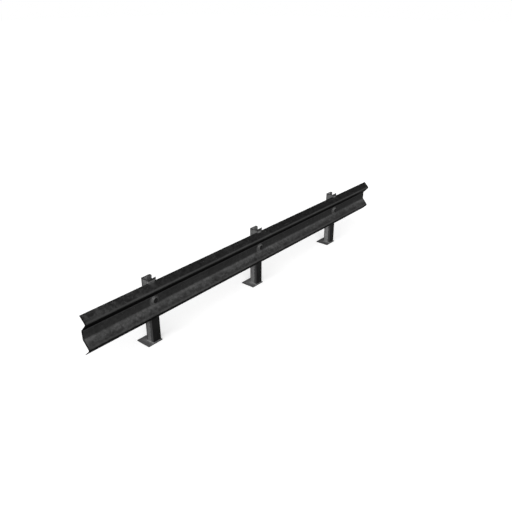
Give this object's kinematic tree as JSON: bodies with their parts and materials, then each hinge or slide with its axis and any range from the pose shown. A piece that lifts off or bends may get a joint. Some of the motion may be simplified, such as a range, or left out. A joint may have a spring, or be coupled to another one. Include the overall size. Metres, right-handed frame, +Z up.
{
  "type": "highway guardrail section",
  "caption": "Straight steel W-beam highway guardrail section on surface-mounted channel posts with welded base plates; keeps vehicles on the road.",
  "frame": {"origin": "underside of the middle post's base plate, below the bolt and under the middle of the post's depth", "axes": "+X along the rail, to the right as seen from the traffic side; +Y away from the traffic; +Z up"},
  "size_m": [3.728, 0.1925, 0.557],
  "materials": {
    "rail_steel": "matt weathered dark grey",
    "post_steel": "matt weathered grey",
    "weld_metal": "dull, rippled",
    "fastener_steel": "dull dark zinc"
  },
  "bodies": {
    "root": {"rail_beam": "rail_steel", "post_left": "post_steel", "post_middle": "post_steel", "post_right": "post_steel", "base_plate_left": "post_steel", "base_plate_middle": "post_steel", "base_plate_right": "post_steel", "weld_left": "weld_metal", "weld_middle": "weld_metal", "weld_right": "weld_metal", "bolt_left": "fastener_steel", "bolt_middle": "fastener_steel", "bolt_right": "fastener_steel", "cup_washer_left": "fastener_steel", "cup_washer_middle": "fastener_steel", "cup_washer_right": "fastener_steel", "nut_washer_left": "fastener_steel", "nut_washer_middle": "fastener_steel", "nut_washer_right": "fastener_steel", "nut_left": "fastener_steel", "nut_middle": "fastener_steel", "nut_right": "fastener_steel"}
  },
  "joints": []
}
